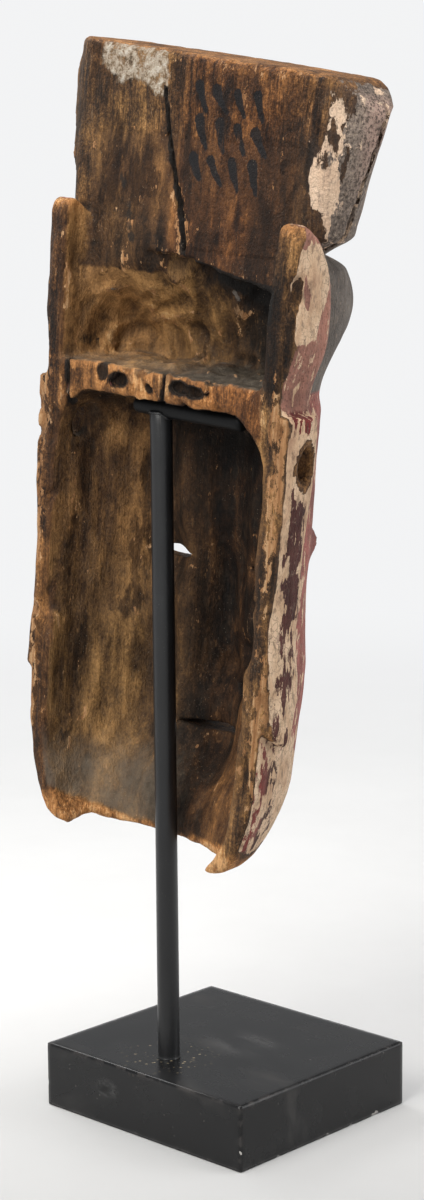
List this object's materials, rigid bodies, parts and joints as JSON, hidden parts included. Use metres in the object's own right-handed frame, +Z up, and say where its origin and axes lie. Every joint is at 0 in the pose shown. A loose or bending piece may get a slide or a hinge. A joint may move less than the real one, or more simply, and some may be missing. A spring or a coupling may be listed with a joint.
{
  "type": "ceremonial mask on stand",
  "caption": "Hollow carved wooden mask with a flared headdress, hung by its inner shelf on a bar-topped rod that stands on a plain black block.",
  "frame": {"origin": "middle of the base block's underside, on the surface it stands on", "axes": "+Z up; the mask's face looks along -Y and its left side is towards +X; the base block's longer side runs along X"},
  "size_m": [0.2254, 0.1388, 0.6098],
  "materials": {
    "carved_wood": "old bare wood, worn and dusty behind; flaking gesso and paint in front",
    "black_steel": "satin black, lightly scuffed",
    "black_block": "matte black paint with dust and small chips"
  },
  "bodies": {
    "root": {"mask": "carved_wood", "cross_bar": "black_steel", "upright_rod": "black_steel", "base_block": "black_block"}
  },
  "joints": []
}
